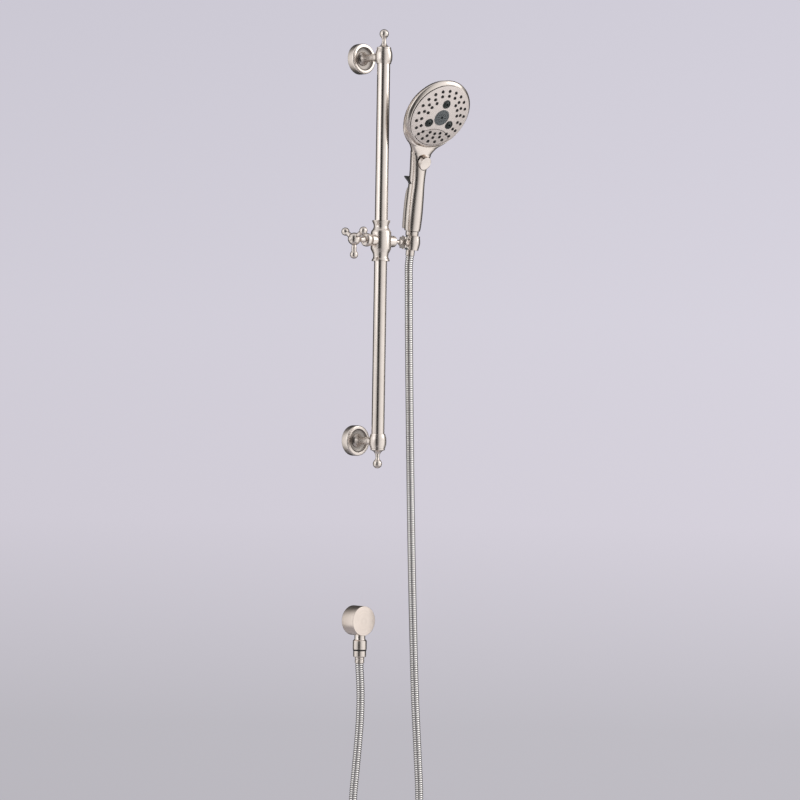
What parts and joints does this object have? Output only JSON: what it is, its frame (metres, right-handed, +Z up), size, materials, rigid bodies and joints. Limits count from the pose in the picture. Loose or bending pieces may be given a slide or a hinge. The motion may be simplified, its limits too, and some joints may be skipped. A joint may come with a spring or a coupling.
{
  "type": "hand shower on slide bar",
  "caption": "Hand shower docked on a wall-mounted slide bar with a clamp slider, swivel holder, metal hose and wall supply elbow",
  "frame": {"origin": "centre of the upper wall plate's back face, on the wall plane", "axes": "+Z up along the slide bar, +Y into the wall, -Y towards the person, +X to the right facing the wall"},
  "size_m": [0.2066, 0.1696, 1.4537],
  "materials": {
    "brushed_nickel": "satin brushed nickel",
    "brass": "cast",
    "steel": "bright",
    "hose_steel": "bright interlocked steel",
    "face_plastic": "satin plated plastic",
    "grey_plastic": "satin",
    "dark_plastic": "satin",
    "nylon": "natural",
    "rubber": "matt"
  },
  "bodies": {
    "root": {"upper_wall_plate": "steel", "lower_wall_plate": "steel", "upper_flange": "brushed_nickel", "lower_flange": "brushed_nickel", "upper_set_screw": "steel", "lower_set_screw": "steel", "upper_bracket": "brushed_nickel", "lower_bracket": "brushed_nickel", "upper_finial": "brushed_nickel", "lower_finial": "brushed_nickel", "slide_bar": "brushed_nickel", "elbow_cover": "brushed_nickel", "elbow_body": "brass", "outlet_nipple": "brushed_nickel", "check_valve_body": "nylon", "check_valve_spring": "steel", "outlet_gasket": "rubber", "outlet_hose_nut": "brushed_nickel", "outlet_ferrule": "brushed_nickel", "hose": "hose_steel"},
    "valve_poppet": {"check_valve_poppet": "nylon"},
    "slider": {"slider_body": "brushed_nickel", "slider_bush_upper": "nylon", "slider_bush_lower": "nylon", "clamp_bonnet": "brushed_nickel", "friction_washer": "nylon"},
    "shoe": {"clamp_shoe": "nylon"},
    "clamp_handle": {"clamp_stem": "brushed_nickel", "clamp_hub": "brushed_nickel", "clamp_hub_cap": "brushed_nickel", "clamp_spoke_1": "brushed_nickel", "clamp_spoke_2": "brushed_nickel", "clamp_spoke_3": "brushed_nickel"},
    "holder": {"holder_cup": "brushed_nickel", "holder_liner": "grey_plastic", "swivel_pin": "brushed_nickel", "swivel_disc": "brushed_nickel"},
    "hose_end": {"hose_ferrule_top": "brushed_nickel"},
    "handset": {"cone_nut": "brushed_nickel", "inlet_gasket": "rubber", "inlet_pipe": "brass", "handset_body": "brushed_nickel", "back_grip": "brushed_nickel", "pause_valve_body": "nylon", "water_tube": "nylon", "faceplate": "face_plastic", "lower_jet_panel": "face_plastic", "nozzle_mat": "rubber", "center_insert": "grey_plastic", "mist_nozzle_1": "grey_plastic", "mist_nozzle_2": "grey_plastic", "mist_nozzle_3": "grey_plastic", "spray_manifold": "nylon", "chamber_cover": "nylon", "button_spring": "steel"},
    "turbine_wheel": {"turbine": "nylon"},
    "button": {"selector_button": "brushed_nickel"},
    "rotor": {"diverter_rotor": "nylon"},
    "lever": {"pause_lever": "dark_plastic"},
    "spool": {"pause_spool": "steel"}
  },
  "joints": [
    {"name": "slider_slide", "type": "slide", "parent": "root", "child": "slider", "axis": [0, 0, 1], "range_m": [-0.298, 0.268], "deforming": ["hose"]},
    {"name": "clamp_turn", "type": "hinge", "parent": "slider", "child": "clamp_handle", "pos_m": [-0.062, -0.065, -0.321], "axis": [-1, 0, 0], "range_deg": [0, 540]},
    {"name": "shoe_travel", "type": "slide", "parent": "slider", "child": "shoe", "axis": [-1, 0, 0], "range_m": [0, 0.0019]},
    {"name": "holder_tilt", "type": "hinge", "parent": "slider", "child": "holder", "pos_m": [0.0715, -0.065, -0.321], "axis": [1, 0, 0], "range_deg": [-5, 40]},
    {"name": "dock_lift", "type": "slide", "parent": "holder", "child": "hose_end", "axis": [0, -0.1219, 0.9925], "range_m": [0, 0.07]},
    {"name": "handset_turn", "type": "hinge", "parent": "hose_end", "child": "handset", "pos_m": [0.0715, -0.065, -0.321], "axis": [0, -0.1219, 0.9925], "range_deg": [-10, 120]},
    {"name": "turbine_spin", "type": "hinge", "parent": "handset", "child": "turbine_wheel", "pos_m": [0.06893, -0.12557, -0.09549], "axis": [-0.0709, -0.8425, -0.534], "continuous": true},
    {"name": "selector_press", "type": "slide", "parent": "handset", "child": "button", "axis": [0.0709, 0.8425, 0.534], "range_m": [0, 0.003], "stiffness_N_per_m": 1000, "springref_m": -0.001, "deforming": ["button_spring"]},
    {"name": "diverter_turn", "type": "hinge", "parent": "handset", "child": "rotor", "pos_m": [0.06998, -0.10126, -0.1844], "axis": [0.0709, 0.8425, 0.534], "range_deg": [0, 60]},
    {"name": "pause_flip", "type": "hinge", "parent": "handset", "child": "lever", "pos_m": [0.07252, -0.06445, -0.21917], "axis": [-0.9969, 0.0779, 0.0096], "range_deg": [0, 30]},
    {"name": "spool_travel", "type": "slide", "parent": "handset", "child": "spool", "axis": [0, -0.1219, 0.9925], "range_m": [0, 0.0057]},
    {"name": "poppet_lift", "type": "slide", "parent": "root", "child": "valve_poppet", "axis": [0, 0, -1], "range_m": [0, 0.0018], "stiffness_N_per_m": 150, "springref_m": -0.001, "deforming": ["check_valve_spring"]}
  ],
  "couplings": [
    {"joint": "shoe_travel", "follows": "clamp_turn", "m_per_rad": 0.000199},
    {"joint": "diverter_turn", "follows": "selector_press", "rad_per_m": 348},
    {"joint": "pause_flip", "follows": "spool_travel", "rad_per_m": 91}
  ]
}
